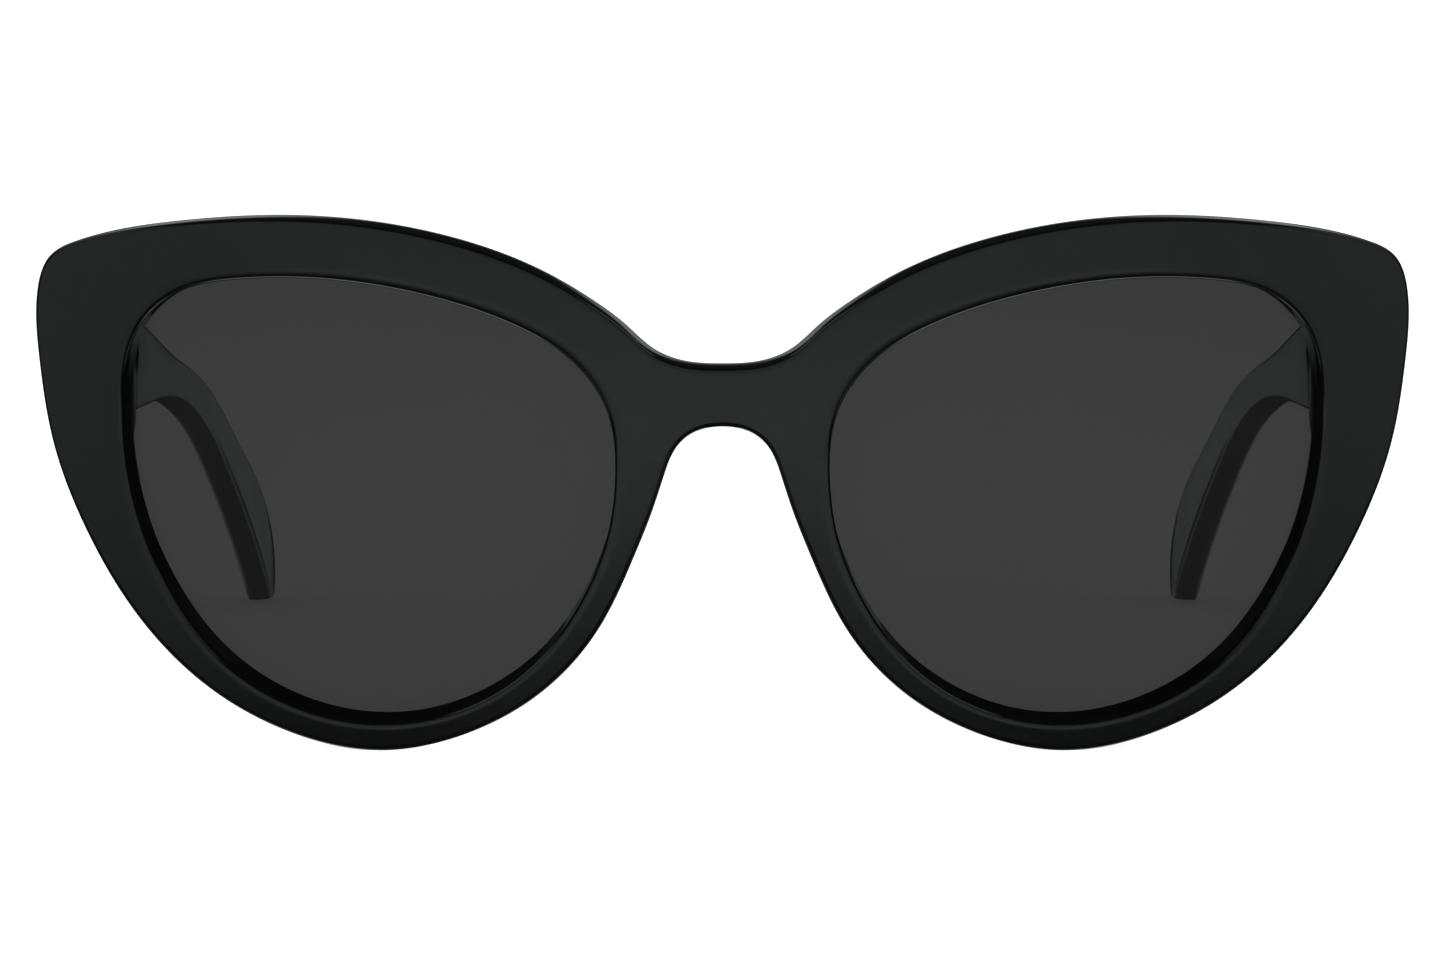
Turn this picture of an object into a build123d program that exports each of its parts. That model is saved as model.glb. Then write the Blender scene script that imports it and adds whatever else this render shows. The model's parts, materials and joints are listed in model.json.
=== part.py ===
"""Cat eye sunglasses: acetate front, tinted lenses, five-barrel hinges and folding temples.

The glasses stand open on a level surface, on the two rims and the two temple tips. X runs from the wearer's
right to the wearer's left (+X), the front faces -Y and the temples run back along +Y. Each side part is
shaped once, for the +X side, and mirrored.
"""

from build123d import *
from math import asin, cos, radians, sin, sqrt, tan
import os

# Driving dimensions, in millimetres and degrees.
APEX_HEIGHT = 28.4  # the middle of the front, where u = v = 0, above the surface
FRONT_RADIUS = 220.0  # bend of the front about its upright axis
FRONT_TILT = 5.0  # the front leans forward at the top
FRONT_THICKNESS = 4.8
RIM_ROUNDING = 0.6  # outer front edge
LIP_ROUNDING = 0.6  # front edge of each lens opening

LENS_DEPTH = 2.5  # lens face behind the face of the front
LENS_THICKNESS = 1.8
LENS_OVERLAP = 0.9  # how far the lens edge reaches into its groove
LENS_BEVEL = 0.35

PAD_BEHIND = 5.5  # how far the nose pads stand out behind the front
PAD_MIDDLE = (10.7, -7.4)
PAD_LENGTH = 14.5
PAD_WIDTH = 3.2
PAD_LEAN = 21.0  # the pads spread downwards with the nose gap
PAD_SPREAD = 0.8  # and spread a little backwards
PAD_ROOT = 1.0  # its shape starts this deep inside the front
PAD_ROUNDING = 1.1

HINGE_X = 63.6  # hinge axis
HINGE_Y = 18.3
HINGE_Z = 39.6
TEMPLE_SLOPE = 6.5  # the temples run down towards the ears, and the hinge axes are square to them
BUTT = 1.9  # from the hinge axis forward to the face where temple and front meet
BUTT_GAP = 0.1
LUG_INNER = -2.0  # inner side of a lug from the hinge axis
LUG_WIDTH = 11.0
LUG_DEPTH = 8.0
LUG_HEIGHT = 15.2

BARREL_RADIUS = 1.65
BARREL_LENGTH = 1.5
BARREL_PITCH = 1.6
NECK_WIDTH = 2.4
NECK_ROOT = 0.5  # how far a neck runs into its leaf
SCREW_RADIUS = 0.7
SCREW_CLEARANCE = 0.04
SCREW_HEAD_RADIUS = 1.25
SCREW_HEAD_HEIGHT = 0.8
SLOT_WIDTH = 0.35
SLOT_DEPTH = 0.3
LEAF_THICKNESS = 1.2
LEAF_HEIGHT = 8.0
LEAF_SPAN = (-LEAF_HEIGHT / 2, LEAF_HEIGHT / 2)
FRONT_LEAF_WIDTH = 6.9
FRONT_LEAF_SPAN = (-NECK_WIDTH / 2, FRONT_LEAF_WIDTH - NECK_WIDTH / 2)
TEMPLE_LEAF_INNER = 1.75  # from the hinge axis out to the leaf's bare face
TEMPLE_LEAF_SPAN = (-1.0, 9.0)  # back from the hinge axis
TEMPLE_NECK_SPAN = (-1.0, 1.3)
PIN_RADIUS = 0.55  # the small screws that hold the hinge leaves
PIN_LENGTH = 3.2
PIN_HEAD_RADIUS = 1.0
PIN_HEAD_HEIGHT = 0.5
FRONT_PIN_OUT = 3.6
FRONT_PIN_RISE = 2.4
TEMPLE_PIN_BACKS = (4.0, 7.4)

TEMPLE_ROUNDING = 1.1
CORE_THICKNESS = 1.0
CORE_HEIGHT = 1.6

# One half of the front: u across from the middle, v up from the apex, seen square on.
FRONT_OUTLINE = [
    (0, 11.8), (3.8, 12.05), (7.2, 13.35), (10, 15.75), (13, 18), (18, 20.95), (28.5, 24.7), (44, 26.5),
    (57.5, 25.45), (65.5, 23.85), (69.7, 21.7), (71.2, 17.8), (71.1, 11), (69.6, 2), (66.3, -6.8),
    (61.2, -15.3), (54, -22.5), (45, -27.2), (36, -28.8), (27, -26.9), (18.7, -22.2), (12.5, -15),
    (9, -7.6), (7.3, -3.3), (5.95, 0.8), (4.5, 3.9), (2.4, 5.4), (0, 5.8),
]
# The lens opening in the same half.
LENS_OPENING = [
    (11, 1), (11.7, 6.9), (15.35, 12.4), (21.6, 16.2), (31, 19.1), (41, 20.4), (50, 20.1), (56, 18.6),
    (60.1, 15), (62.1, 7), (61.25, -3), (58.1, -11.75), (52, -19.95), (44.7, -24.25), (36, -25.85),
    (27.75, -24.4), (20, -19.7), (14.65, -12.1), (11.95, -5.5),
]
# A temple from the side, in the hinge's frame: back from the hinge axis, and up along it.
TEMPLE_TOP = [
    (BUTT_GAP - BUTT, 7.4), (12, 7.1), (35.5, 5.3), (60, 2.7), (75, 1.4), (86, -0.6), (101, -5.9),
    (115.5, -11.5), (123.2, -15.6),
]
TEMPLE_TIP = [(123.2, -15.6), (127.6, -19.2), (128.8, -22.3), (127.5, -24.8), (125.2, -25.4)]
TEMPLE_BOTTOM = [
    (125.2, -25.4), (112.4, -18.2), (97.8, -10.5), (87.4, -6), (77.6, -3.45), (66.3, -2.3),
    (46.3, -2.9), (26.4, -4.8), (BUTT_GAP - BUTT, -7.4),
]
# A temple from above: back from the hinge axis, out to its outer face, and its thickness there.
TEMPLE_PLAN = [
    (BUTT_GAP - BUTT, 6.5, 4.6), (14, 5.9, 4.5), (32, 4.5, 4.2), (77, 1.2, 3.6), (102, -1.9, 3.4),
    (120, -4, 3.3), (130, -4.9, 2.9),
]
# The middle of the metal core, from the side.
CORE_LINE = [
    (10.5, 0), (35.5, 0.9), (60, 0.3), (75, -0.9), (86, -3.2), (100, -8.6), (113, -14.4), (120, -18.2),
]

# Reaches that only have to clear what they cut or bound.
AIR = 1.0
PRISM_START = -2.0
PRISM_END = 20.0
BEND_HEIGHT = 90.0
BAND_REACH = 40.0

FRONT_PLACE = Plane(
    origin=(0, 0, APEX_HEIGHT),
    x_dir=(1, 0, 0),
    z_dir=(0, -cos(radians(FRONT_TILT)), -sin(radians(FRONT_TILT))),
).location
HINGE_PLACE = Plane(
    origin=(HINGE_X, HINGE_Y, HINGE_Z),
    x_dir=(1, 0, 0),
    z_dir=(0, sin(radians(TEMPLE_SLOPE)), cos(radians(TEMPLE_SLOPE))),
).location


def block(x_span, y_span, z_span):
    """A box between two values on each axis."""
    spans = (x_span, y_span, z_span)
    middle = [(low + high) / 2 for low, high in spans]
    return Pos(*middle) * Box(*[high - low for low, high in spans])


def prism(points):
    """A block square to the bent front, so that its walls point at the axis of the bend."""
    faces = []
    for depth in (PRISM_START, PRISM_END):
        across = FRONT_RADIUS - depth
        loop = [(across * tan(asin(u / FRONT_RADIUS)), v, -depth) for u, v in points]
        faces.append(make_face(Spline(*loop, periodic=True)))
    return loft(faces, ruled=True)


def inside_bend(depth):
    """All that lies more than this deep behind the bent face of the front."""
    return Pos(0, 0, -FRONT_RADIUS) * Rot(90, 0, 0) * Cylinder(FRONT_RADIUS - depth, BEND_HEIGHT)


def edges_at(shape, depth):
    """The edges of a shape that follow the bent front at one depth."""
    def error(edge):
        radii = [sqrt(p.X**2 + (p.Z + FRONT_RADIUS) ** 2) for p in (edge @ 0, edge @ 0.4, edge @ 0.7)]
        return max(abs(radius - FRONT_RADIUS + depth) for radius in radii)
    return shape.edges().filter_by(lambda edge: error(edge) < 0.01)


def grown(points, extra):
    """A loop moved outwards from its middle."""
    middle = [sum(values) / len(points) for values in zip(*points)]
    loop = []
    for u, v in points:
        reach = sqrt((u - middle[0]) ** 2 + (v - middle[1]) ** 2)
        loop.append((u + (u - middle[0]) * extra / reach, v + (v - middle[1]) * extra / reach))
    return loop


def make_lens():
    """A tinted lens with a bevelled edge, in the front's frame."""
    back = LENS_DEPTH + LENS_THICKNESS
    lens = prism(grown(LENS_OPENING, LENS_OVERLAP)) & (inside_bend(LENS_DEPTH) - inside_bend(back))
    return chamfer(edges_at(lens, LENS_DEPTH) + edges_at(lens, back), LENS_BEVEL)


def make_front(lens):
    """The acetate front: bent sheet, lens openings and grooves, and the lugs behind its outer ends."""
    lug = FRONT_PLACE.inverse() * HINGE_PLACE * block(
        (LUG_INNER, LUG_INNER + LUG_WIDTH), (-BUTT - LUG_DEPTH, -BUTT), (-LUG_HEIGHT / 2, LUG_HEIGHT / 2)
    )
    front = inside_bend(0) - inside_bend(FRONT_THICKNESS) + ((lug + lug.mirror(Plane.YZ)) & inside_bend(0))
    outline = FRONT_OUTLINE + [(-u, v) for u, v in reversed(FRONT_OUTLINE[1:-1])]
    front &= prism(outline)
    front = fillet(edges_at(front, 0), RIM_ROUNDING)
    opening = prism(LENS_OPENING)
    front -= opening + opening.mirror(Plane.YZ)
    front = fillet(edges_at(front, 0), LIP_ROUNDING)
    return front - lens - lens.mirror(Plane.YZ)


def make_nose_pad():
    """An acetate pad bonded behind the nasal rim, in the front's frame."""
    rounds = []
    for depth, spread in ((FRONT_THICKNESS - PAD_ROOT, 0), (FRONT_THICKNESS + PAD_BEHIND, PAD_SPREAD)):
        place = Pos(PAD_MIDDLE[0] + spread, PAD_MIDDLE[1], -depth) * Rot(0, 0, 90 + PAD_LEAN)
        rounds.append(place * SlotOverall(PAD_LENGTH, PAD_WIDTH))
    pad = loft(rounds) & inside_bend(FRONT_THICKNESS)
    return fillet(pad.faces().sort_by(Axis.Z)[0].edges(), PAD_ROUNDING)


def barrel(step):
    """One barrel of the hinge, counted from the middle one."""
    return Pos(0, 0, step * BARREL_PITCH) * Cylinder(BARREL_RADIUS, BARREL_LENGTH)


def neck(step, x_span, y_span):
    """The web that joins a barrel to its leaf."""
    low = step * BARREL_PITCH - BARREL_LENGTH / 2
    return block(x_span, y_span, (low, low + BARREL_LENGTH))


def pin(place):
    """A small countersunk screw along its place's +Z, with its head flush at the origin."""
    shank = Pos(0, 0, PIN_LENGTH / 2) * Cylinder(PIN_RADIUS, PIN_LENGTH)
    head = Pos(0, 0, PIN_HEAD_HEIGHT / 2) * Cone(PIN_HEAD_RADIUS, PIN_RADIUS, PIN_HEAD_HEIGHT)
    across = (-PIN_HEAD_RADIUS, PIN_HEAD_RADIUS)
    slot = block(across, (-SLOT_WIDTH / 2, SLOT_WIDTH / 2), (-AIR, SLOT_DEPTH / 2))
    return place * (shank + head - slot), place * (shank + head)


def make_hinge():
    """The hinge's two leaves, its screw and the leaf screws, in the hinge's frame."""
    bare = -BUTT
    fixed = block(FRONT_LEAF_SPAN, (bare - LEAF_THICKNESS, bare), LEAF_SPAN)
    for step in (-2, 0, 2):
        fixed += barrel(step) + neck(step, (-NECK_WIDTH / 2, NECK_WIDTH / 2), (bare - NECK_ROOT, 0))
    inner = TEMPLE_LEAF_INNER
    swing = block((inner, inner + LEAF_THICKNESS), TEMPLE_LEAF_SPAN, LEAF_SPAN)
    for step in (-1, 1):
        swing += barrel(step) + neck(step, (0, inner + NECK_ROOT), TEMPLE_NECK_SPAN)

    length = 4 * BARREL_PITCH + BARREL_LENGTH
    bore = Cylinder(SCREW_RADIUS + SCREW_CLEARANCE, length + 2 * AIR)
    swing -= bore
    thread = Pos(0, 0, -2 * BARREL_PITCH) * Cylinder(SCREW_RADIUS, BARREL_LENGTH + AIR)
    around = (-2 * BARREL_RADIUS, 2 * BARREL_RADIUS)
    lowest_barrel = block(around, around, (-length, -1.5 * BARREL_PITCH))
    fixed = fixed - (bore - lowest_barrel) - thread
    head = Pos(0, 0, length / 2 + SCREW_HEAD_HEIGHT / 2) * Cylinder(SCREW_HEAD_RADIUS, SCREW_HEAD_HEIGHT)
    screw = fillet(head.edges().sort_by(Axis.Z)[-1], SLOT_DEPTH) + Cylinder(SCREW_RADIUS, length)
    top = length / 2 + SCREW_HEAD_HEIGHT
    screw -= block(around, (-SLOT_WIDTH / 2, SLOT_WIDTH / 2), (top - SLOT_DEPTH, top + AIR))

    fixed_pins = [pin(Pos(FRONT_PIN_OUT, bare, z) * Rot(90, 0, 0)) for z in (-FRONT_PIN_RISE, FRONT_PIN_RISE)]
    swing_pins = [pin(Pos(inner, y, 0) * Rot(0, 90, 0)) for y in TEMPLE_PIN_BACKS]
    for _, hole in fixed_pins:
        fixed -= hole
    for _, hole in swing_pins:
        swing -= hole
    return fixed, swing, screw, fixed_pins, swing_pins


def run_edge(points):
    """A smooth edge through points, or a straight one between two."""
    return Spline(*points) if len(points) > 2 else Line(*points)


def banded(side, plan):
    """A solid seen as one closed outline from the side and another from above."""
    side_face = make_face([run_edge([(-BAND_REACH, y, z) for y, z in run]) for run in side])
    plan_face = make_face([run_edge([(x, y, -BAND_REACH) for x, y in run]) for run in plan])
    from_side = extrude(side_face, 2 * BAND_REACH, (1, 0, 0))
    from_above = extrude(plan_face, 2 * BAND_REACH, (0, 0, 1))
    return from_side & from_above


def make_core():
    """The springy metal strip in the middle of a temple, in the hinge's frame."""
    top = [(y, z + CORE_HEIGHT / 2) for y, z in CORE_LINE]
    bottom = [(y, z - CORE_HEIGHT / 2) for y, z in reversed(CORE_LINE)]
    outer = [(x - (thick - CORE_THICKNESS) / 2, y) for y, x, thick in TEMPLE_PLAN]
    inner = [(x - (thick + CORE_THICKNESS) / 2, y) for y, x, thick in reversed(TEMPLE_PLAN)]
    return banded([top, [top[-1], bottom[0]], bottom, [bottom[-1], top[0]]],
                  [outer, [outer[-1], inner[0]], inner, [inner[-1], outer[0]]])


def make_temple(core, leaf_holes):
    """An acetate temple with its core channel, leaf recess and screw holes, in the hinge's frame."""
    outer = [(x, y) for y, x, _ in TEMPLE_PLAN]
    inner = [(x - thick, y) for y, x, thick in reversed(TEMPLE_PLAN)]
    temple = banded([TEMPLE_TOP, TEMPLE_TIP, TEMPLE_BOTTOM, [TEMPLE_BOTTOM[-1], TEMPLE_TOP[0]]],
                    [outer, [outer[-1], inner[0]], inner, [inner[-1], outer[0]]])
    temple = fillet(temple.edges().filter_by(lambda edge: (edge @ 0.5).Y > 0), TEMPLE_ROUNDING)
    leaf_bed = block((-AIR, TEMPLE_LEAF_INNER + LEAF_THICKNESS), TEMPLE_LEAF_SPAN, LEAF_SPAN)
    temple -= core + leaf_bed
    for hole in leaf_holes:
        temple -= hole
    return temple


def make_parts():
    """Every piece by name, with the glasses standing where they were designed."""
    lens = make_lens()
    fixed_leaf, swing_leaf, screw, fixed_pins, swing_pins = make_hinge()
    core = make_core()
    leaf_bed = block(FRONT_LEAF_SPAN, (-BUTT - LEAF_THICKNESS, -BUTT + AIR), LEAF_SPAN)
    front = FRONT_PLACE * make_front(lens)
    for cutter in [leaf_bed] + [hole for _, hole in fixed_pins]:
        cutter = HINGE_PLACE * cutter
        front -= cutter + cutter.mirror(Plane.YZ)
    side_parts = {
        "lens": FRONT_PLACE * lens,
        "nose_pad": FRONT_PLACE * make_nose_pad(),
        "front_hinge_leaf": HINGE_PLACE * fixed_leaf,
        "front_leaf_screws": HINGE_PLACE * Compound([shape.solid() for shape, _ in fixed_pins]),
        "hinge_screw": HINGE_PLACE * screw,
        "temple_hinge_leaf": HINGE_PLACE * swing_leaf,
        "temple_leaf_screws": HINGE_PLACE * Compound([shape.solid() for shape, _ in swing_pins]),
        "temple_core": HINGE_PLACE * core,
        "temple": HINGE_PLACE * make_temple(core, [hole for _, hole in swing_pins]),
    }
    parts = {"front_frame": front}
    for name, shape in side_parts.items():
        parts["left_" + name] = shape
        parts["right_" + name] = shape.mirror(Plane.YZ)
    return parts


def main():
    """Stand the glasses over the origin and write one file for each piece."""
    parts = make_parts()
    box = Compound([solid for shape in parts.values() for solid in shape.solids()]).bounding_box()
    stand = Pos(0, -box.center().Y, -box.min.Z)
    os.makedirs("parts", exist_ok=True)
    for name, shape in parts.items():
        export_step(stand * shape, os.path.join("parts", name + ".step"))
    print("overall size", [round(value, 2) for value in box.size])
    print("moved by", [round(value, 4) for value in stand.position])
    print("left hinge axis through", [round(value, 4) for value in (stand * HINGE_PLACE).position])


if __name__ == "__main__":
    main()
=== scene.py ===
"""The look of the cat eye sunglasses: polished black acetate, tinted lenses and metal hinges.

Lengths are in millimetres until a mesh is made. The front is drawn as a flat sheet, u across and v up from
its middle, and bent. A temple is drawn in the frame of its own hinge. Each side part is shaped once, for the
+X side, which is the wearer's left.
"""
import json
import math

import bmesh
import bpy
import numpy as np
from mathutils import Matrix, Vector


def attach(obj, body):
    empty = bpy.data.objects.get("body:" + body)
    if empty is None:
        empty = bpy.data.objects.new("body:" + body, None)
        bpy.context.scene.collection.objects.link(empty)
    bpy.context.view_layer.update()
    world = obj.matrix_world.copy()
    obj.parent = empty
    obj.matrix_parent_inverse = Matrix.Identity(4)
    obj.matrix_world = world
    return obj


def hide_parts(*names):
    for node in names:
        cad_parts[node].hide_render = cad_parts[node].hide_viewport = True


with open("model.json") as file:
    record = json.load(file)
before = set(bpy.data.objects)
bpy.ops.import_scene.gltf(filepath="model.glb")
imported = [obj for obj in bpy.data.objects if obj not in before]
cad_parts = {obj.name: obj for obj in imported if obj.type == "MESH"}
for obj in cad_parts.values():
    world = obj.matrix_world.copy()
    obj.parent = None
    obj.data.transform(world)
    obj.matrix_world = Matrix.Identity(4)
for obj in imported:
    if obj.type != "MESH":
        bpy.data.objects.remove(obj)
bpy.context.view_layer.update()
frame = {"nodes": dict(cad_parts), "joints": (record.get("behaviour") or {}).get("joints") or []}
MM = 0.001

# The front, as in the CAD model.
FRONT_RADIUS = 220.0
FRONT_TILT = math.radians(5.0)
FRONT_THICKNESS = 4.8
LENS_DEPTH = 2.5
LENS_THICKNESS = 1.8
LENS_REACH = 0.88  # how far the lens edge reaches into its groove
LENS_BEVEL = 0.35
LENS_BEVEL_STEPS = 3
GROOVE = 0.95
GROOVE_SLACK = 0.05

# What polishing does to its face and its edges.
POLISHED_OFF = 0.04  # the whole face
LIP_RADIUS = 0.35  # the front edge of a lens opening
ROLL_WIDTH = 1.15  # the face falls away a little before that edge
ROLL_DEPTH = 0.019
ROLL_POWER = 2.5
BOTTOM_ROLL = 0.4  # the roll's width and depth at the bottom, as a share of those elsewhere
BOTTOM_SPREAD = 1.2  # how soon an opening counts as its bottom, as it turns to face down
WALL_LEAN = 0.7  # the lower wall of an opening leans in over the lens
NASAL_LEAN = 1.4  # how far towards the nose it does so
REAR_SETBACK = 0.6  # the rear edge of an opening stands back from its front edge
REAR_LIP_RADIUS = 0.35
RIM_RADIUS = 0.28  # the outer edge in front
RIM_REACH = 2 * RIM_RADIUS  # how far in its section starts
REAR_RIM_RADIUS = 1.0  # the outer edge behind
REAR_ROLL = 0.02  # the wall falls away a little before that edge
LUG_EDGE_RADIUS = 0.25  # the same where a lug meets its temple

HINGE_FROM_APEX = (63.6, 18.3, 11.2)  # the apex is the middle of the front, where u = v = 0
TEMPLE_SLOPE = math.radians(6.5)
BUTT = 1.95  # from the hinge axis to where lug and temple meet
LUG_HALF_HEIGHT = 7.6
LUG_INNER = -2.6  # the lug's inner side, out from the hinge axis
LUG_RAMP = 1.2  # the lug rises out of the front over this width

PAD_MIDDLE = (10.55, -7.4)
PAD_LENGTH = 14.5
PAD_WIDTH = 2.7
PAD_LEAN = math.radians(21.0)
PAD_BEHIND = 5.4  # how far it stands behind the front
PAD_SPREAD = 0.3  # how far outward it leans over that

TEMPLE_ROUNDING = 0.6
BUTT_ROUNDING = 0.25

# How fine the curves and the front's mesh are.
LOOP_SAMPLES = 8001
COLUMN_SPACING = 0.3
EDGE_REACH = 1.3  # how far in from the outline the back's mesh starts
FACE_CROSSINGS = 5
BACK_CROSSINGS = 16

FRONT_OUTLINE = [
    (0, 11.8), (3.8, 12.05), (7.2, 13.35), (10, 15.75), (13, 18), (18, 20.95), (28.5, 24.7), (44, 26.5),
    (57.5, 25.45), (65.5, 23.85), (69.7, 21.7), (71.1, 17.8), (71, 11), (69.6, 2), (66.3, -6.8),
    (61.2, -15.3), (54, -22.5), (45, -27.2), (36, -28.76), (27, -26.9), (18.7, -22.2), (12.5, -15),
    (9, -7.6), (7.3, -3.3), (5.95, 0.8), (4.5, 3.9), (2.4, 5.4), (0, 5.8),
]
LENS_OPENING = [
    (11, 1), (11.7, 6.9), (15.35, 12.4), (21.6, 16.2), (31, 19.1), (41, 20.4), (50, 20.1), (56, 18.6),
    (60.1, 15), (62.1, 7), (61.25, -3), (58.1, -11.75), (52, -19.95), (44.7, -24.25), (36, -25.85),
    (27.75, -24.4), (20, -19.7), (14.4, -12.2), (11.8, -5.5),
]
# Points of the lens opening, each with the point of the outline that faces it across the rim. Between the
# last pair and the first lies the bridge.
FACING = [
    ((12.4, 9), (5, 12.35)), ((15.35, 12.4), (9.5, 15.3)), ((21.5, 16.4), (18.5, 21.0)),
    ((31, 19.2), (29, 24.6)), ((50, 20.1), (55, 25.7)), ((56, 18.6), (66, 23.7)), ((60, 15), (71.2, 19)),
    ((61.8, 7), (70.9, 8)), ((60.8, -3), (68.2, -3)), ((51.5, -19.5), (54.3, -22.3)),
    ((36, -25.2), (36, -28.8)),
    ((20, -19.7), (18.2, -21.6)), ((14.4, -12.2), (12, -13.6)), ((11.8, -5.5), (8.6, -6.6)),
    ((10.9, 2.2), (4.7, 3.75)),
]

# A temple from the side, in its hinge's frame: back from the axis, and up along it.
TEMPLE_TOP = [
    (-1.8, 7.4), (12, 7.1), (35.5, 5.3), (60, 2.7), (75, 1.4), (86, -0.6), (101, -5.9), (115.5, -11.5),
    (123.2, -15.6),
]
TEMPLE_TIP = [(123.2, -15.6), (127.4, -19.2), (128.3, -22.3), (127.1, -24.8), (125, -25.3)]
TEMPLE_BOTTOM = [
    (-1.8, -7.4), (26.4, -4.8), (46.3, -2.9), (66.3, -2.3), (77.6, -3.45), (87.4, -6), (97.8, -10.5),
    (112.4, -18.2), (125, -25.3),
]
# A temple from above: back from the hinge axis, out to its outer face, and its thickness there.
TEMPLE_PLAN = [
    (-1.8, 6.5, 4.68), (10, 6.05, 4.23), (32, 4.5, 4.1), (77, 1.2, 3.6), (102, -1.9, 3.4), (120, -4, 3.3),
    (130, -4.9, 2.9),
]


# Curves -------------------------------------------------------------------------------------------------

def cubic_through(points, closed=False):
    """A smooth curve through points, as a function of the chord length, and that length at each point."""
    pts = np.array(points, float)
    if closed:
        pts = np.vstack([pts, pts[:1]])
    knots = np.concatenate([[0], np.cumsum(np.linalg.norm(np.diff(pts, axis=0), axis=1))])
    gaps = np.diff(knots)
    count = len(knots)
    system = np.zeros((count, count))
    known = np.zeros(pts.shape)
    for i in range(1, count - 1):
        system[i, i - 1:i + 2] = gaps[i - 1], 2 * (gaps[i - 1] + gaps[i]), gaps[i]
        known[i] = 6 * ((pts[i + 1] - pts[i]) / gaps[i] - (pts[i] - pts[i - 1]) / gaps[i - 1])
    if closed:
        system[0, [0, -1]] = 1, -1
        system[-1, [0, 1, -2, -1]] = 2 * gaps[0], gaps[0], gaps[-1], 2 * gaps[-1]
        known[-1] = 6 * ((pts[1] - pts[0]) / gaps[0] - (pts[-1] - pts[-2]) / gaps[-1])
    else:
        system[0, 0] = system[-1, -1] = 1
    bend = np.linalg.solve(system, known)

    def at(where):
        where = np.asarray(where, float)
        i = np.clip(np.searchsorted(knots, where, side="right") - 1, 0, count - 2)
        before = (knots[i + 1] - where)[..., None]
        after = (where - knots[i])[..., None]
        gap = gaps[i][..., None]
        curved = (bend[i] * before**3 + bend[i + 1] * after**3) / (6 * gap)
        from_first = (pts[i] / gap - bend[i] * gap / 6) * before
        from_second = (pts[i + 1] / gap - bend[i + 1] * gap / 6) * after
        return curved + from_first + from_second

    return at, knots


class Loop:
    """A smooth closed curve that runs clockwise, by the length along it."""

    def __init__(self, points):
        self.curve, knots = cubic_through(points, closed=True)
        self.length = knots[-1]

    def at(self, where):
        return self.curve(np.mod(where, self.length))

    def outward(self, where):
        step = 0.02
        ahead = self.at(where + step) - self.at(where - step)
        ahead /= np.linalg.norm(ahead, axis=-1)[..., None]
        return np.stack([-ahead[..., 1], ahead[..., 0]], axis=-1)

    def nearest(self, point):
        where = np.linspace(0, self.length, LOOP_SAMPLES)
        return where[np.argmin(np.linalg.norm(self.at(where) - np.array(point, float), axis=1))]


def smooth_step(value):
    value = np.clip(value, 0, 1)
    return value * value * (3 - 2 * value)


def coons(first, last, start, end):
    """A grid between four edges: first and last run the long way, start and end join their ends."""
    s = np.linspace(0, 1, len(first))[:, None, None]
    t = np.linspace(0, 1, len(start))[None, :, None]
    across = (1 - t) * first[:, None] + t * last[:, None]
    along = (1 - s) * start[None] + s * end[None]
    corners = (1 - s) * ((1 - t) * first[0] + t * last[0]) + s * ((1 - t) * first[-1] + t * last[-1])
    return across + along - corners


# The three frames ---------------------------------------------------------------------------------------

joints = {joint["name"]: joint for joint in frame["joints"]}
HINGE = np.array(joints["left_temple_fold"]["pos_m"]) / MM
APEX = HINGE - np.array(HINGE_FROM_APEX)
SHEET_UP = np.array([0, -math.sin(FRONT_TILT), math.cos(FRONT_TILT)])
SHEET_IN = np.array([0, math.cos(FRONT_TILT), math.sin(FRONT_TILT)])
ACROSS = np.array([1.0, 0, 0])
HINGE_UP = np.array([0, math.sin(TEMPLE_SLOPE), math.cos(TEMPLE_SLOPE)])
HINGE_BACK = np.array([0, math.cos(TEMPLE_SLOPE), -math.sin(TEMPLE_SLOPE)])


def on_front(uv, depth):
    """Points of the bent sheet: uv on its face, and how deep in it."""
    turn = np.arcsin(uv[..., 0] / FRONT_RADIUS)[..., None]
    reach = FRONT_RADIUS - np.asarray(depth, float)[..., None]
    bent = ACROSS * np.sin(turn) * reach + SHEET_IN * (FRONT_RADIUS - np.cos(turn) * reach)
    return APEX + bent + SHEET_UP * uv[..., 1:2]


def at_hinge(out, back, up):
    """Points given in the hinge's frame."""
    return HINGE + ACROSS * out[..., None] + HINGE_BACK * back[..., None] + HINGE_UP * up[..., None]


def lug_share(uv):
    """Where the back of the front carries a lug: 1 on the lug, 0 off it."""
    back = on_front(uv, np.full(uv.shape[:-1], FRONT_THICKNESS)) - HINGE
    height = (LUG_HALF_HEIGHT + LUG_RAMP / 2 - np.abs(back @ HINGE_UP)) / LUG_RAMP
    return smooth_step(height) * smooth_step((back[..., 0] - LUG_INNER) / LUG_RAMP)


def back_depth(uv):
    """How deep the back of the front is: its thickness, and more where a lug carries the hinge."""
    face = on_front(uv, np.zeros(uv.shape[:-1]))
    inward = (on_front(uv, np.full(uv.shape[:-1], FRONT_THICKNESS)) - face) / FRONT_THICKNESS
    to_butt = (-BUTT - (face - HINGE) @ HINGE_BACK) / (inward @ HINGE_BACK)
    return FRONT_THICKNESS + lug_share(uv) * np.maximum(to_butt - FRONT_THICKNESS, 0)


# Meshes -------------------------------------------------------------------------------------------------

SHARP = math.radians(40)
TOUCHING = 1e-7  # metres


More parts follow.
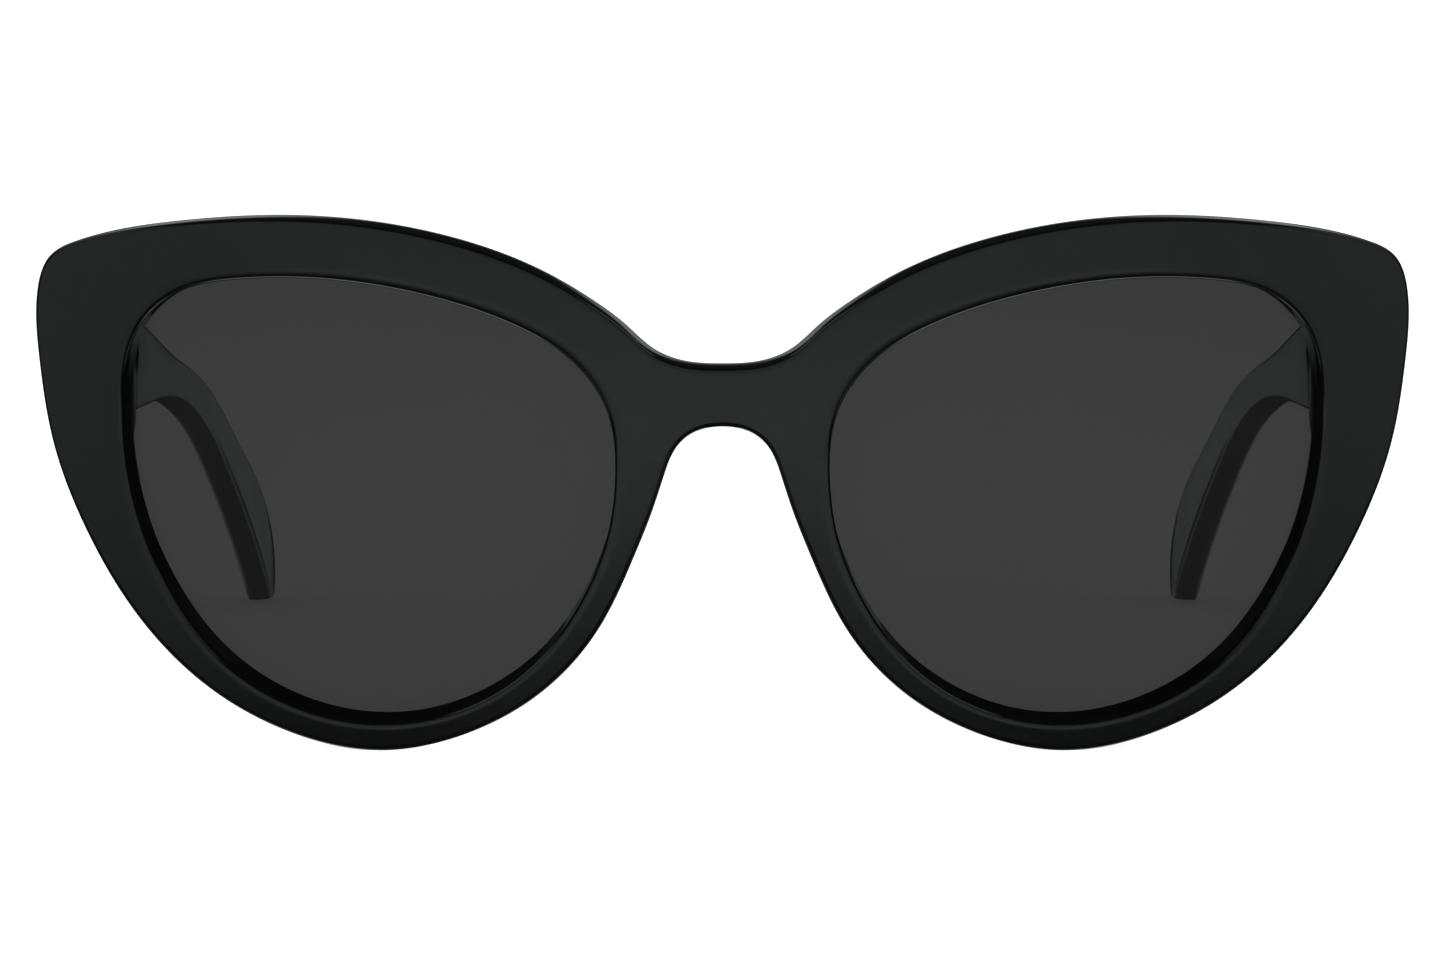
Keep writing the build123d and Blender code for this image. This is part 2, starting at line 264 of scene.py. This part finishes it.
def make_mesh(name, points, faces, bevelled=()):
    """A smooth mesh object from points in millimetres, with touching points joined and its faces outward.

    bevelled lists pairs of points: the edge between them gets a lens's bevel.
    """
    mesh = bpy.data.meshes.new(name)
    mesh.from_pydata((np.asarray(points) * MM).tolist(), [], [list(face) for face in faces])
    if bevelled:
        edges = {tuple(sorted(edge.vertices)): edge.index for edge in mesh.edges}
        weights = mesh.attributes.new("bevel_weight_edge", "FLOAT", "EDGE")
        for pair in bevelled:
            weights.data[edges[tuple(sorted(pair))]].value = 1.0
    work = bmesh.new()
    work.from_mesh(mesh)
    bmesh.ops.remove_doubles(work, verts=work.verts, dist=TOUCHING)
    bmesh.ops.recalc_face_normals(work, faces=work.faces)
    if work.calc_volume(signed=True) < 0:
        bmesh.ops.reverse_faces(work, faces=work.faces)
    for face in work.faces:
        face.smooth = True
    for edge in work.edges:
        edge.smooth = edge.calc_face_angle(0) < SHARP
    work.to_mesh(mesh)
    work.free()
    obj = bpy.data.objects.new(name, mesh)
    bpy.context.scene.collection.objects.link(obj)
    if bevelled:
        bevel = obj.modifiers.new("rounding", "BEVEL")
        bevel.limit_method = "WEIGHT"
        bevel.offset_type = "OFFSET"
        bevel.width = LENS_BEVEL * MM
        bevel.segments = LENS_BEVEL_STEPS
        bevel.use_clamp_overlap = False
        bevel.harden_normals = True
        bevel.miter_outer = "MITER_SHARP"
    return obj


def mirrored(points):
    return np.asarray(points) * (-1, 1, 1)


def grid_faces(index):
    """Quads over a grid of point numbers."""
    a, b, c, d = index[:-1, :-1], index[:-1, 1:], index[1:, 1:], index[1:, :-1]
    return np.stack([a, b, c, d], axis=-1).reshape(-1, 4).tolist()


def sewn(grids):
    """The points and quads of several grids of points, one after the other."""
    points, faces, start = [], [], 0
    for grid in grids:
        points.append(grid.reshape(-1, 3))
        faces += grid_faces(start + np.arange(grid[..., 0].size).reshape(grid.shape[:2]))
        start += grid[..., 0].size
    return np.vstack(points), faces


def evenly(start, end, count):
    return np.linspace(start, end, count + 1)


# The front ----------------------------------------------------------------------------------------------

def rim_columns(opening, outline):
    """Where the columns of the front's mesh start on the opening and end on the outline.

    The first pair of lists covers the rim, the third list the opening beside the bridge, the last two the
    upper and the lower edge of the bridge, out from the middle.
    """
    half = outline.length / 2
    inner = [opening.nearest(point) for point, _ in FACING]
    inner = [value if value >= inner[0] else value + opening.length for value in inner]
    outer = [outline.nearest(point) for _, point in FACING]
    steps = [math.ceil((end - start) / COLUMN_SPACING) for start, end in zip(inner, inner[1:])]
    rim = [np.concatenate([evenly(*pair)[:-1] for pair in zip(ends, ends[1:], steps)] + [ends[-1:]])
           for ends in (inner, outer)]
    beside = evenly(inner[-1], inner[0] + opening.length, 2 * math.ceil(inner[0] / COLUMN_SPACING))
    across = math.ceil(outer[0] / COLUMN_SPACING)
    return *rim, beside, evenly(0, outer[0], across), evenly(half, outer[-1], across)


def lip_rows(away):
    """The section of a lens opening, from the face over the lip, the wall and the groove to the back.

    Each row is how far out from the opening it lies, how deep, and whether that is measured from the back.
    """
    low = smooth_step(-BOTTOM_SPREAD * away[:, 1])
    narrow = 1 - (1 - BOTTOM_ROLL) * low

    def roll(out):
        share = np.maximum(1 - (out - LIP_RADIUS) / (ROLL_WIDTH * narrow), 0)
        return ROLL_DEPTH * narrow * share**ROLL_POWER

    lean = -WALL_LEAN * low * smooth_step(NASAL_LEAN + away[:, 0])
    top, end = LENS_DEPTH - GROOVE_SLACK, LENS_DEPTH + LENS_THICKNESS + GROOVE_SLACK
    rows = [(out, roll(out), False) for out in LIP_RADIUS + ROLL_WIDTH * np.linspace(1, 0.1, 9)]
    rows += [(LIP_RADIUS * (1 - math.sin(turn)), roll(LIP_RADIUS) + LIP_RADIUS * (1 - math.cos(turn)), False)
             for turn in evenly(0, math.pi / 2, 6)]
    rows += [(lean * 0.5, (LIP_RADIUS + top) / 2, False), (lean, top, False)]
    rows += [(GROOVE, top, False), (GROOVE, end, False), (REAR_SETBACK, end, False)]
    rows += [(REAR_SETBACK + REAR_LIP_RADIUS * (1 - math.cos(turn)),
              REAR_LIP_RADIUS * (1 - math.sin(turn)), True) for turn in evenly(0, math.pi / 2, 5)]
    return rows + [(LIP_RADIUS + ROLL_WIDTH, 0, True)]


def edge_rows(radius, deep):
    """The same for the outer edge, with how far in from the outline each row lies."""
    rows = [(RIM_REACH, 0, False)]
    rows += [(RIM_RADIUS * (1 - math.sin(turn)), RIM_RADIUS * (1 - math.cos(turn)), False)
             for turn in evenly(0, math.pi / 2, 5)]
    flat = deep - radius - RIM_RADIUS
    rows += [(REAR_ROLL * share**2, RIM_RADIUS + flat * (0.5 + share / 2), False)
             for share in (0, 0.35, 0.7)]
    rows += [(REAR_ROLL + radius * (1 - math.cos(turn)), radius * (1 - math.sin(turn)), True)
             for turn in evenly(0.1, math.pi / 2, 8)]
    return rows + [(EDGE_REACH, 0, True)]


def section(loop, where, side, rows):
    """The points of a section's rows along a loop. side is 1 for rows out of it and -1 for rows into it."""
    points = []
    for reach, value, from_back in rows:
        uv = loop.at(where) + loop.outward(where) * np.reshape(side * reach, (-1, 1))
        depth = back_depth(uv) - value if from_back else np.full(len(uv), POLISHED_OFF) + value
        points.append(on_front(uv, depth))
    return np.stack(points, axis=1)


def make_front():
    """The acetate front: its two halves are mirror images that meet in the middle of the bridge."""
    opening = Loop(LENS_OPENING)
    outline = Loop(FRONT_OUTLINE + [(-u, v) for u, v in reversed(FRONT_OUTLINE[1:-1])])
    rim_inner, rim_outer, beside, above, below = rim_columns(opening, outline)

    def spans(inner_reach, outer_reach, crossings):
        """Grids that fill the face, or the back, between the sections of opening and edge."""
        def inner(where):
            return opening.at(where) + opening.outward(where) * inner_reach

        def outer(where):
            return outline.at(where) - outline.outward(where) * outer_reach

        share = np.linspace(0, 1, crossings)[None, :, None]
        upper, lower = outer(above), outer(below)
        down = np.linspace(0, 1, len(beside))[:, None]
        flank = upper[-1] + (lower[-1] - upper[-1]) * down
        middle = upper[0] + (lower[0] - upper[0]) * down
        rim = inner(rim_inner)[:, None] * (1 - share) + outer(rim_outer)[:, None] * share
        nasal = inner(beside)[:, None] * (1 - share) + flank[::-1, None] * share
        return rim, nasal, coons(upper, lower, middle, flank)

    lip_at = np.concatenate([rim_inner, beside[1:]])
    edge_at = np.concatenate([above, rim_outer[1:], below[-2::-1]])
    edge = outline.at(edge_at)
    radius = REAR_RIM_RADIUS + (LUG_EDGE_RADIUS - REAR_RIM_RADIUS) * lug_share(edge)
    grids = [section(opening, lip_at, 1, lip_rows(opening.outward(lip_at))),
             section(outline, edge_at, -1, edge_rows(radius, back_depth(edge)))]
    reach = LIP_RADIUS + ROLL_WIDTH
    grids += [on_front(uv, np.full(uv.shape[:2], POLISHED_OFF))
              for uv in spans(reach, RIM_REACH, FACE_CROSSINGS)]
    grids += [on_front(uv, back_depth(uv)) for uv in spans(reach, EDGE_REACH, BACK_CROSSINGS)]
    points, faces = sewn(grids + [grid * (-1, 1, 1) for grid in grids])
    front = make_mesh("front_shell", points, faces)
    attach(front, "front")
    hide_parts("front_frame")
    return front


# The lenses ---------------------------------------------------------------------------------------------

def disc(loop, shares, core):
    """Points and quads that fill a loop: rings towards its middle, then a grid of core by core cells.

    Gives the points, the numbers of the ring points as a grid whose first column is the loop itself, and the
    quads.
    """
    count = 4 * core
    middle = loop.mean(axis=0)
    rings = [middle + (loop - middle) * share for share in shares]
    sides = [rings[-1][(side * core + np.arange(core + 1)) % count] for side in range(4)]
    filled = coons(sides[0], sides[2][::-1], sides[3][::-1], sides[1])
    points = np.vstack(rings + [filled.reshape(-1, 2)])
    grid = np.arange(len(rings) * count).reshape(len(rings), count).T
    grid = np.vstack([grid, grid[:1]])
    start = len(rings) * count
    cells = start + np.arange((core + 1) ** 2).reshape(core + 1, core + 1)
    return points, grid, grid_faces(grid) + grid_faces(cells)


LENS_CELLS = 48
LENS_RINGS = (1, 0.97, 0.9, 0.8, 0.68, 0.55)  # each ring's size, as a share of the lens


def make_lens(name, flip):
    """A tinted lens: two bent faces and a bevelled edge that sits in the groove."""
    opening = Loop(LENS_OPENING)
    where = np.arange(4 * LENS_CELLS) / (4 * LENS_CELLS) * opening.length
    loop = opening.at(where) + opening.outward(where) * LENS_REACH
    flat, grid, fill = disc(loop, LENS_RINGS, LENS_CELLS)
    total = len(flat)
    points = np.vstack([on_front(flat, np.full(total, depth))
                        for depth in (LENS_DEPTH, LENS_DEPTH + LENS_THICKNESS)])
    faces = fill + [tuple(k + total for k in reversed(quad)) for quad in fill]
    rim = grid[:, :1]
    faces += grid_faces(np.hstack([rim, rim + total]))
    bevelled = [(a + start, b + start) for a, b in zip(rim[:-1, 0], rim[1:, 0]) for start in (0, total)]
    lens = make_mesh(name, mirrored(points) if flip else points, faces, bevelled)
    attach(lens, "front")
    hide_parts(("right" if flip else "left") + "_lens")
    return lens


# The nose pads ------------------------------------------------------------------------------------------

PAD_RINGS = [  # behind the back of the front, and how far the pad's edge is inside its full size
    (-0.4, -0.15), (0.0, -0.13), (0.3, -0.08), (0.8, -0.02), (1.6, 0.0), (2.8, 0.02), (3.8, 0.06),
    (4.4, 0.16), (4.85, 0.36), (5.12, 0.64), (5.26, 0.95),
]
PAD_CROWN = 0.08
PAD_CELLS = 14


def make_nose_pad(name, flip):
    """A moulded pad that flares into the back of the rim and ends in a soft crown."""
    turn = np.arange(4 * PAD_CELLS) / (4 * PAD_CELLS) * 2 * math.pi
    along = np.array([-math.sin(PAD_LEAN), math.cos(PAD_LEAN)])
    across = np.array([math.cos(PAD_LEAN), math.sin(PAD_LEAN)])
    points = []
    for behind, inside in PAD_RINGS:
        long_way = np.cos(turn) * (PAD_LENGTH / 2 - inside)
        short_way = np.sin(turn) * (PAD_WIDTH / 2 - inside)
        middle = np.array(PAD_MIDDLE) + (PAD_SPREAD * behind / PAD_BEHIND, 0)
        loop = middle + long_way[:, None] * along + short_way[:, None] * across
        points.append(on_front(loop, np.full(len(loop), FRONT_THICKNESS + behind)))
    rings = np.arange(len(PAD_RINGS) * len(loop)).reshape(len(PAD_RINGS), len(loop)).T
    flat, _, fill = disc(loop, (1,), PAD_CELLS)
    long_share = (flat - middle) @ along / (PAD_LENGTH / 2 - inside)
    short_share = (flat - middle) @ across / (PAD_WIDTH / 2 - inside)
    crown = FRONT_THICKNESS + PAD_RINGS[-1][0] + PAD_CROWN * (1 - long_share**2 - short_share**2)
    faces = grid_faces(np.vstack([rings, rings[:1]]))
    faces += [tuple(k + rings.size for k in quad) for quad in fill] + [tuple(range(len(loop)))]
    coords = np.vstack(points + [on_front(flat, crown)])
    pad = make_mesh(name, mirrored(coords) if flip else coords, faces)
    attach(pad, "front")
    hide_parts(("right" if flip else "left") + "_nose_pad")
    return pad


# The temples --------------------------------------------------------------------------------------------

TEMPLE_STATIONS = 300
PLAN_SAMPLES = 3000
CORNER_LIMIT = 0.45  # no corner takes more than this share of a side
CORNER_STEPS = 6
SIDE_STEPS = 6
TIP_REACH = 5.0  # the section tapers over the last of its height, mostly from the inside
LAST_SECTION = 0.999  # just short of the point where top and bottom meet
OUTER_TAPER = 0.1
INNER_TAPER = 0.8


def make_temple(name, flip):
    """An acetate temple: rounded sections from the square butt end to the tip."""
    top, top_at = cubic_through(TEMPLE_TOP + TEMPLE_TIP[1:])
    bottom, bottom_at = cubic_through(TEMPLE_BOTTOM)
    plan, plan_at = cubic_through([(back, out) for back, out, _ in TEMPLE_PLAN])
    thick, thick_at = cubic_through([(back, thickness) for back, _, thickness in TEMPLE_PLAN])
    outer = plan(np.linspace(0, plan_at[-1], PLAN_SAMPLES))
    thickness = thick(np.linspace(0, thick_at[-1], PLAN_SAMPLES))

    turns = evenly(0, math.pi / 2, CORNER_STEPS)
    start = BUTT_ROUNDING / bottom_at[-1]
    share = np.concatenate([[0], start * (1 - np.cos(turns[:-1])),
                            np.linspace(start, LAST_SECTION, TEMPLE_STATIONS)])
    inset = np.concatenate([[2 * BUTT_ROUNDING], BUTT_ROUNDING * (1 - np.sin(turns[:-1])),
                            np.zeros(TEMPLE_STATIONS)])
    rings = []
    for place, inside in zip(share, inset):
        high, low = top(place * top_at[-1]), bottom(place * bottom_at[-1])
        height = np.linalg.norm(low - high)
        full = np.interp((high[0] + low[0]) / 2, thickness[:, 0], thickness[:, 1])
        taper = 1 - math.sqrt(1 - max(1 - height / TIP_REACH, 0) ** 2)
        room = CORNER_LIMIT * min(height, full * (1 - taper))
        radius = max(min(TEMPLE_ROUNDING, room) - inside, 0)
        lying, standing = radius * (1 - np.cos(turns)), radius * (1 - np.sin(turns))
        side = np.linspace(radius, height - 2 * inside - radius, SIDE_STEPS)[1:-1] + inside
        down = np.concatenate([inside + lying, side, height - inside - lying[::-1]])
        deep = np.concatenate([standing, np.zeros(SIDE_STEPS - 2), standing[::-1]]) + inside
        flat = high + (low - high) * (down / height)[:, None]
        outside = np.interp(flat[:, 0], outer[:, 0], outer[:, 1])
        within = outside - np.interp(flat[:, 0], thickness[:, 0], thickness[:, 1])
        outside, within = outside - OUTER_TAPER * full * taper, within + INNER_TAPER * full * taper
        ring = np.vstack([at_hinge(outside - deep, flat[:, 0], flat[:, 1]),
                          at_hinge(within + deep, flat[:, 0], flat[:, 1])[::-1]])
        rings.append(np.vstack([ring, ring[:1]]))
    points, faces = sewn([np.array(rings)])
    around = len(rings[0]) - 1
    faces += [tuple(range(around)), tuple(range(len(points) - around - 1, len(points) - 1))]
    temple = make_mesh(name, mirrored(points) if flip else points, faces)
    hand = "right" if flip else "left"
    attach(temple, hand + "_temple")
    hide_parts(hand + "_temple")
    return temple


# Materials ----------------------------------------------------------------------------------------------

def new_material(name):
    """A material with its node tree, its shader and a way to add and join nodes."""
    material = bpy.data.materials.new(name)
    material.use_nodes = True
    tree = material.node_tree
    shader = tree.nodes["Principled BSDF"]

    def node(kind, **settings):
        made = tree.nodes.new("ShaderNode" + kind)
        for key, value in settings.items():
            if hasattr(made, key):
                setattr(made, key, value)
            else:
                made.inputs[key].default_value = value
        return made

    return material, shader, node, tree.links.new


def noise(node, join, scale, detail=2.0, roughness=0.5, distortion=0.0):
    """Noise over the object's own coordinates. The scale is per metre."""
    coords = node("TexCoord")
    made = node("TexNoise", Scale=scale, Detail=detail, Roughness=roughness, Distortion=distortion)
    join(coords.outputs["Object"], made.inputs["Vector"])
    return made.outputs["Fac"]


def ramp(node, join, value, stops):
    """A colour ramp on a value. Stops are (place, grey or colour)."""
    made = node("ValToRGB")
    marks = made.color_ramp.elements
    while len(marks) < len(stops):
        marks.new(0.5)
    for mark, (place, colour) in zip(marks, stops):
        mark.position = place
        mark.color = (*colour, 1) if isinstance(colour, tuple) else (colour, colour, colour, 1)
    join(value, made.inputs["Fac"])
    return made.outputs["Color"]


def bump(node, join, layers):
    """Bumps on top of each other. Layers are (height, depth in metres)."""
    normal = None
    for height, depth in layers:
        made = node("Bump", Strength=1.0, Distance=depth)
        join(height, made.inputs["Height"])
        if normal:
            join(normal, made.inputs["Normal"])
        normal = made.outputs["Normal"]
    return normal


def make_acetate(name, tone, rough):
    """Polished black acetate: faint clouds in the black, buffing waves and a very fine grain."""
    material, shader, node, join = new_material(name)
    clouds = noise(node, join, 90, detail=4, distortion=0.6)
    darker, lighter = (tuple(c * share for c in tone) for share in (0.7, 1.3))
    join(ramp(node, join, clouds, [(0.3, darker), (0.7, lighter)]), shader.inputs["Base Color"])
    polish = noise(node, join, 420, detail=6, roughness=0.6)
    join(ramp(node, join, polish, [(0.35, rough * 0.75), (0.7, rough * 1.35)]), shader.inputs["Roughness"])
    layers = [(noise(node, join, 55, detail=1), 3.0e-6), (noise(node, join, 2600, detail=2), 2.0e-8)]
    join(bump(node, join, layers), shader.inputs["Normal"])
    shader.inputs["IOR"].default_value = 1.49
    return material


def make_tint():
    """The grey lens: each of its two faces lets a sixth of the light through."""
    material, shader, node, join = new_material("lens_grey")
    clouds = noise(node, join, 60, detail=2)
    join(ramp(node, join, clouds, [(0.3, (0.0068, 0.0065, 0.0075)), (0.7, (0.0074, 0.0071, 0.0081))]),
         shader.inputs["Base Color"])
    join(ramp(node, join, clouds, [(0.3, 0.832), (0.7, 0.836)]), shader.inputs["Alpha"])
    haze = noise(node, join, 700, detail=5)
    join(ramp(node, join, haze, [(0.4, 0.03), (0.7, 0.06)]), shader.inputs["Roughness"])
    shader.inputs["IOR"].default_value = 1.5
    shader.inputs["Specular IOR Level"].default_value = 0.1
    return material


def make_metal(name, colour, rough, grain=900):
    """Machined metal with a fine turned grain and duller patches."""
    material, shader, node, join = new_material(name)
    shader.inputs["Metallic"].default_value = 1.0
    patches = noise(node, join, 500, detail=4)
    join(ramp(node, join, patches, [(0.3, tuple(c * 0.85 for c in colour)), (0.7, colour)]),
         shader.inputs["Base Color"])
    coords = node("TexCoord")
    lines = node("TexWave", wave_type="BANDS", bands_direction="Z", Scale=grain, Distortion=2.5, Detail=3.0)
    join(coords.outputs["Object"], lines.inputs["Vector"])
    grooves = lines.outputs["Fac"]
    join(ramp(node, join, grooves, [(0.2, rough * 0.8), (0.8, rough * 1.3)]), shader.inputs["Roughness"])
    join(bump(node, join, [(grooves, 2.0e-6)]), shader.inputs["Normal"])
    return material


# The studio ---------------------------------------------------------------------------------------------

CAMERA_PITCH = math.radians(5.5)
CAMERA_DISTANCE = 650.0
FOCAL_LENGTH = 158.4
FLOOR_RADIUS = 9.0


def make_camera():
    data = bpy.data.cameras.new("camera")
    data.lens = FOCAL_LENGTH
    data.sensor_width = 36.0
    data.clip_start = 0.01
    camera = bpy.data.objects.new("camera", data)
    bpy.context.scene.collection.objects.link(camera)
    forward = Vector((0, math.cos(CAMERA_PITCH), -math.sin(CAMERA_PITCH)))
    camera.location = (Vector(APEX) - forward * CAMERA_DISTANCE) * MM
    camera.rotation_euler = forward.to_track_quat("-Z", "Y").to_euler()
    bpy.context.scene.camera = camera


def make_floor():
    """A round pale floor, out to well past every view."""
    mesh = bpy.data.meshes.new("floor")
    turn = np.linspace(0, 2 * math.pi, 97)[:-1]
    mesh.from_pydata([(FLOOR_RADIUS * math.cos(t), FLOOR_RADIUS * math.sin(t), 0) for t in turn], [],
                     [tuple(range(len(turn)))])
    floor = bpy.data.objects.new("floor", mesh)
    bpy.context.scene.collection.objects.link(floor)
    material, shader, node, join = new_material("floor_white")
    grain = noise(node, join, 30, detail=3)
    join(ramp(node, join, grain, [(0.3, 0.49), (0.7, 0.51)]), shader.inputs["Base Color"])
    shader.inputs["Roughness"].default_value = 0.9
    shader.inputs["Specular IOR Level"].default_value = 0.0
    shader.inputs["Emission Color"].default_value = (1, 1, 1, 1)
    shader.inputs["Emission Strength"].default_value = 0.95
    mesh.materials.append(material)
    floor.visible_glossy = False


def make_light(name, place, size, power):
    """A soft light that faces the glasses and shows in no reflection."""
    data = bpy.data.lights.new(name, "AREA")
    data.shape = "RECTANGLE"
    data.size, data.size_y = size
    data.energy = power
    light = bpy.data.objects.new(name, data)
    bpy.context.scene.collection.objects.link(light)
    light.location = place
    light.rotation_euler = (-Vector(place)).to_track_quat("-Z", "Y").to_euler()
    light.visible_glossy = False
    light.visible_camera = False


# How bright the studio is in each direction, by its height: the sine of its elevation, then the brightness
# in front of the glasses, behind them and behind them to the sides, and what a wide and a narrow card add.
STUDIO = [
    (-1.0, 0.05, 0.3, 3.0, 0.0, 0.0),
    (-0.65, 0.05, 0.3, 3.0, 0.0, 0.0),
    (-0.45, 0.03, 0.1, 2.4, 0.0, 0.0),
    (-0.33, 0.03, 0.05, 2.2, 0.0, 0.0),
    (-0.312, 0.035, 0.05, 2.1, 0.0, 0.06),
    (-0.3, 0.06, 0.05, 2.0, 0.0, 0.13),
    (-0.288, 0.13, 0.05, 1.9, 0.0, 0.16),
    (-0.276, 0.22, 0.05, 1.8, 0.1, 0.14),
    (-0.271, 0.28, 0.05, 1.6, 0.28, 0.0),
    (-0.256, 0.335, 0.05, 1.6, 0.35, 0.0),
    (-0.243, 0.4, 0.05, 1.6, 0.12, 0.0),
    (-0.225, 0.42, 0.05, 1.6, 0.04, 0.0),
    (-0.205, 0.46, 0.05, 1.6, 0.0, 0.0),
    (-0.1, 0.42, 0.02, 1.6, 0.0, 0.0),
    (0.07, 0.38, 0.012, 1.6, 0.0, 0.0),
    (0.095, 0.37, 0.3, 0.3, 0.0, 0.0),
    (0.2, 0.35, 0.3, 0.3, 0.0, 0.0),
    (0.24, 0.33, 0.012, 0.012, 0.0, 0.0),
    (0.3, 0.3, 0.012, 0.012, 0.0, 0.0),
    (0.45, 0.1, 0.012, 0.012, 0.0, 0.0),
    (0.55, 0.02, 0.012, 0.012, 0.0, 0.0),
    (1.0, 0.02, 0.012, 0.012, 0.0, 0.0),
]
BRIGHTEST = 5.0
REAR_SIDES = (0.14, 0.2)  # how far aside the studio behind goes over to what lies to its sides
REAR_CARD = (0.26, 0.33)  # how far aside that gets brighter
REAR_CARD_GAIN = 0.5
REAR_ENDS = (0.45, 0.6)  # how far aside that goes dark again
FRONT_ENDS = (0.72, 0.85)  # how far aside the studio in front goes dark
TABLE_ENDS = (0.4, 0.6)  # how far aside the table in front is lit
TABLE_HEIGHTS = (-0.5, -0.38)
TABLE = 0.4
WIDE_CARD = (0.35, 0.6)  # how far to the side the cards reach, and where they have faded out
NARROW_CARD = (0.1, 0.4)
SOFTBOX = 0.9  # the brightness of the two softboxes overhead to the sides
SOFTBOX_INNER = (0.5, 0.58)  # how far aside they start
SOFTBOX_OUTER = (0.86, 0.92)  # and end
SOFTBOX_HEIGHTS = (0.3, 0.4)
SOFTBOX_DEPTHS = (0.35, 0.5)  # how far to the front and the back they reach
TO_BEHIND = (-0.5, 0.2)  # from front to back, where the studio in front goes over to that behind
BACKDROP = 1.05
STUDIO_TONE = (0.93, 1.0, 0.97, 1)


def make_world():
    """A dark room with a lit table in front, cards on it and two softboxes overhead."""
    world = bpy.data.worlds.new("studio")
    bpy.context.scene.world = world
    world.use_nodes = True
    tree = world.node_tree
    join = tree.links.new

    def math_node(operation, first, second):
        made = tree.nodes.new("ShaderNodeMath")
        made.operation = operation
        for socket, value in zip(made.inputs, (first, second)):
            if isinstance(value, float):
                socket.default_value = value
            else:
                join(value, socket)
        return made.outputs["Value"]

    def stretch(value, low, high):
        made = tree.nodes.new("ShaderNodeMapRange")
        made.interpolation_type = "SMOOTHSTEP"
        made.inputs["From Min"].default_value = low
        made.inputs["From Max"].default_value = high
        join(value, made.inputs["Value"])
        return made.outputs["Result"]

    def fade(value, low, high):
        return math_node("SUBTRACT", 1.0, stretch(value, low, high))

    coords = tree.nodes.new("ShaderNodeTexCoord")
    split = tree.nodes.new("ShaderNodeSeparateXYZ")
    join(coords.outputs["Generated"], split.inputs[0])
    across, along, height = (split.outputs[axis] for axis in "XYZ")
    share = math_node("MULTIPLY_ADD", height, 0.5)
    share.node.inputs[2].default_value = 0.5
    levels = []
    for column in (1, 2, 3, 4, 5):
        curve = tree.nodes.new("ShaderNodeFloatCurve")
        points = curve.mapping.curves[0].points
        while len(points) < len(STUDIO):
            points.new(0.5, 0.5)
        for point, row in zip(points, STUDIO):
            point.location = ((row[0] + 1) / 2, row[column] / BRIGHTEST)
            point.handle_type = "VECTOR"
        curve.mapping.update()
        join(share, curve.inputs["Value"])
        levels.append(curve.outputs["Value"])
    front, behind, rear_sides, wide, narrow = levels
    aside = math_node("ABSOLUTE", across, 0.0)
    for card, reach in ((wide, WIDE_CARD), (narrow, NARROW_CARD)):
        front = math_node("ADD", front, math_node("MULTIPLY", card, fade(aside, *reach)))
    front = math_node("MULTIPLY", front, fade(aside, *FRONT_ENDS))
    table = math_node("MULTIPLY", stretch(aside, *TABLE_ENDS), fade(height, *TABLE_HEIGHTS))
    front = math_node("ADD", front, math_node("MULTIPLY", table, TABLE / BRIGHTEST))
    gain = math_node("ADD", math_node("MULTIPLY", stretch(aside, *REAR_CARD), REAR_CARD_GAIN), 1.0)
    rear_sides = math_node("MULTIPLY", math_node("MULTIPLY", rear_sides, gain), fade(aside, *REAR_ENDS))

    def mixed(share, first, second):
        made = tree.nodes.new("ShaderNodeMix")
        join(share, made.inputs["Factor"])
        join(first, made.inputs["A"])
        join(second, made.inputs["B"])
        return made.outputs["Result"]

    behind = mixed(stretch(aside, *REAR_SIDES), behind, rear_sides)
    around = mixed(stretch(along, *TO_BEHIND), front, behind)
    edges = [stretch(aside, *SOFTBOX_INNER), fade(aside, *SOFTBOX_OUTER), stretch(height, *SOFTBOX_HEIGHTS),
             fade(math_node("ABSOLUTE", along, 0.0), *SOFTBOX_DEPTHS)]
    softbox = SOFTBOX / BRIGHTEST
    for edge in edges:
        softbox = math_node("MULTIPLY", edge, softbox)
    room = math_node("MULTIPLY", math_node("ADD", around, softbox), BRIGHTEST)
    seen = tree.nodes.new("ShaderNodeMix")
    seen.inputs["B"].default_value = BACKDROP
    join(tree.nodes.new("ShaderNodeLightPath").outputs["Is Camera Ray"], seen.inputs["Factor"])
    join(room, seen.inputs["A"])
    background = tree.nodes["Background"]
    background.inputs["Color"].default_value = STUDIO_TONE
    join(seen.outputs["Result"], background.inputs["Strength"])


# Putting it together ------------------------------------------------------------------------------------

def give(obj, material):
    """Makes a material the only one of an object."""
    if obj.material_slots:
        for slot in obj.material_slots:
            slot.material = material
    else:
        obj.data.materials.append(material)


black = make_acetate("acetate_black", (0.0019, 0.002, 0.002), 0.06)
tint = make_tint()
steel = make_metal("hinge_steel", (0.46, 0.45, 0.43), 0.3)
screw_steel = make_metal("screw_steel", (0.55, 0.54, 0.52), 0.22, 1500)
core_steel = make_metal("core_steel", (0.5, 0.49, 0.47), 0.34)

give(make_front(), black)
for flip in (False, True):
    hand = "right_" if flip else "left_"
    give(make_lens(hand + "tinted_lens", flip), tint)
    give(make_nose_pad(hand + "moulded_pad", flip), black)
    give(make_temple(hand + "temple_arm", flip), black)
    for node_name, metal in [
        ("front_hinge_leaf", steel), ("temple_hinge_leaf", steel), ("hinge_screw", screw_steel),
        ("front_leaf_screws", screw_steel), ("temple_leaf_screws", screw_steel), ("temple_core", core_steel),
    ]:
        give(frame["nodes"][hand + node_name], metal)

make_camera()
make_floor()
make_world()
make_light("key", (0, -0.5, 1.3), (1.4, 1.0), 14)
make_light("left_fill", (-1.2, -0.2, 0.8), (0.9, 0.9), 5)
make_light("right_fill", (1.2, -0.2, 0.8), (0.9, 0.9), 5)
bpy.context.scene.view_settings.view_transform = "Standard"
